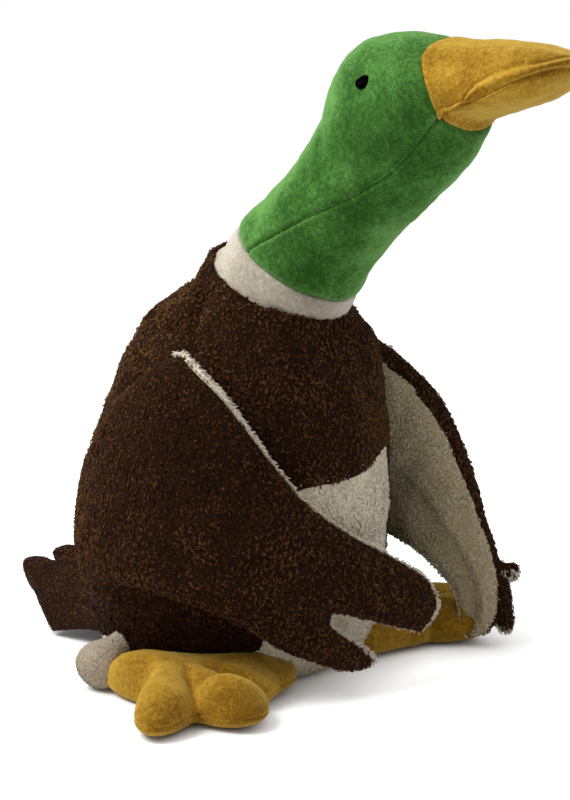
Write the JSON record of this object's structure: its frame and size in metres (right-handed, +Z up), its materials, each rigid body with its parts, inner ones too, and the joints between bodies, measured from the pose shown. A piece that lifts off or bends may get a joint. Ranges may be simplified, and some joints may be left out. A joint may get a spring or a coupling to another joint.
{
  "type": "plush duck",
  "caption": "Sitting stuffed duck with a brown pile coat, cream belly, green head and neck, yellow bill and webbed feet, padded wings and a tail.",
  "frame": {"origin": "middle of the flat base that the torso sits on", "axes": "+Z up, the duck faces -Y, its right side is -X"},
  "size_m": [0.296, 0.3601, 0.3311],
  "materials": {
    "brown_pile": "curly pile",
    "cream_pile": "short curly pile",
    "green_velour": "short velour",
    "yellow_velour": "short velour",
    "ring_velour": "short velour",
    "eye_thread": "satin embroidery",
    "stuffing": "loose fibre"
  },
  "bodies": {
    "torso": {"chest_panel": "brown_pile", "back_panel": "brown_pile", "belly_panel": "cream_pile", "torso_stuffing": "stuffing"},
    "neck": {"neck_ring": "ring_velour", "neck_stuffing": "stuffing"},
    "head": {"head_left": "green_velour", "head_right": "green_velour", "throat_panel": "green_velour", "head_stuffing": "stuffing", "bill_top": "yellow_velour", "bill_bottom": "yellow_velour", "eye_left": "eye_thread", "eye_right": "eye_thread"},
    "wing_left": {"wing_left_top": "brown_pile", "wing_left_lining": "cream_pile", "wing_left_wadding": "stuffing"},
    "wing_right": {"wing_right_top": "brown_pile", "wing_right_lining": "cream_pile", "wing_right_wadding": "stuffing"},
    "tail": {"tail_top": "brown_pile", "tail_bottom": "brown_pile", "tail_wadding": "stuffing"},
    "leg_left": {"leg_left_skin": "cream_pile", "leg_left_stuffing": "stuffing", "foot_left_upper": "yellow_velour", "foot_left_sole": "yellow_velour", "foot_left_stuffing": "stuffing"},
    "leg_right": {"leg_right_skin": "cream_pile", "leg_right_stuffing": "stuffing", "foot_right_upper": "yellow_velour", "foot_right_sole": "yellow_velour", "foot_right_stuffing": "stuffing"}
  },
  "joints": [
    {"name": "neck_nod", "type": "hinge", "parent": "torso", "child": "neck", "pos_m": [0, -0.02501, 0.19102], "axis": [1, 0, 0], "range_deg": [-12, 8], "stiffness_Nm_per_rad": 0.6, "springref_deg": -2.86},
    {"name": "head_turn", "type": "hinge", "parent": "neck", "child": "head", "pos_m": [0, -0.04222, 0.21559], "axis": [0, -0.5736, 0.8192], "range_deg": [-30, 30], "stiffness_Nm_per_rad": 0.3},
    {"name": "wing_right_swing", "type": "hinge", "parent": "torso", "child": "wing_right", "pos_m": [-0.07738, -0.01084, 0.17041], "axis": [-0.1695, 0.171, -0.9706], "range_deg": [0, 60], "stiffness_Nm_per_rad": 0.05, "springref_deg": -2.86},
    {"name": "wing_left_swing", "type": "hinge", "parent": "torso", "child": "wing_left", "pos_m": [0.07834, -0.00996, 0.16804], "axis": [-0.1744, -0.1768, 0.9687], "range_deg": [0, 45], "stiffness_Nm_per_rad": 0.05, "springref_deg": -2.86},
    {"name": "tail_lift", "type": "hinge", "parent": "torso", "child": "tail", "pos_m": [0, 0.07448, 0.0215], "axis": [1, 0, 0], "range_deg": [0, 30], "stiffness_Nm_per_rad": 0.06},
    {"name": "leg_left_splay", "type": "hinge", "parent": "torso", "child": "leg_left", "pos_m": [0.07, 0.014, 0.024], "axis": [0, 0, 1], "range_deg": [0, 15], "stiffness_Nm_per_rad": 0.1},
    {"name": "leg_right_splay", "type": "hinge", "parent": "torso", "child": "leg_right", "pos_m": [-0.07, 0.014, 0.024], "axis": [0, 0, -1], "range_deg": [0, 15], "stiffness_Nm_per_rad": 0.1}
  ]
}
